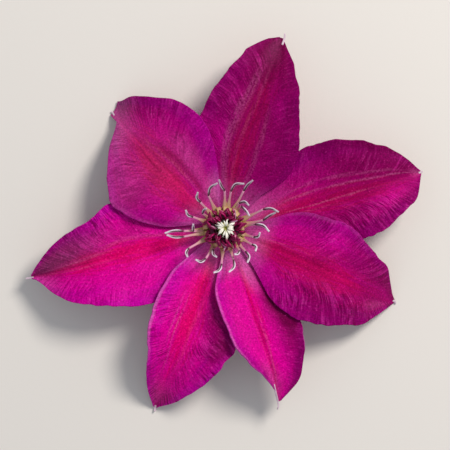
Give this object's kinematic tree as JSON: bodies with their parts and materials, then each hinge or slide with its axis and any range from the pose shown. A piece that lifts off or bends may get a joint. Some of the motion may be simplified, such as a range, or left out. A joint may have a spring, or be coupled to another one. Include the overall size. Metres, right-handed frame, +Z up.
{
  "type": "clematis flower",
  "caption": "Large open clematis bloom lying face up: overlapping pointed sepals, a ring of curled stamens, a dark anther boss and a pale tuft of styles.",
  "frame": {"origin": "centre of the flower's box in plan, on the surface that it lies on", "axes": "+Z up out of the flower's face, +X across the flower's longest width, +Y towards the top of the reference view"},
  "size_m": [0.1414, 0.1366, 0.0256],
  "materials": {
    "sepal_dark": "satin",
    "sepal_mid": "satin",
    "sepal_bright": "satin",
    "stalk_green": "satin",
    "stamen_pink": "satin",
    "anther_crimson": "gloss",
    "style_cream": "satin"
  },
  "bodies": {
    "root": {"sepal_1": "sepal_mid", "sepal_2": "sepal_dark", "sepal_3": "sepal_dark", "sepal_4": "sepal_mid", "sepal_5": "sepal_bright", "sepal_6": "sepal_bright", "sepal_7": "sepal_bright", "stalk": "stalk_green", "outer_stamens": "stamen_pink", "inner_stamens": "anther_crimson", "styles": "style_cream"}
  },
  "joints": []
}
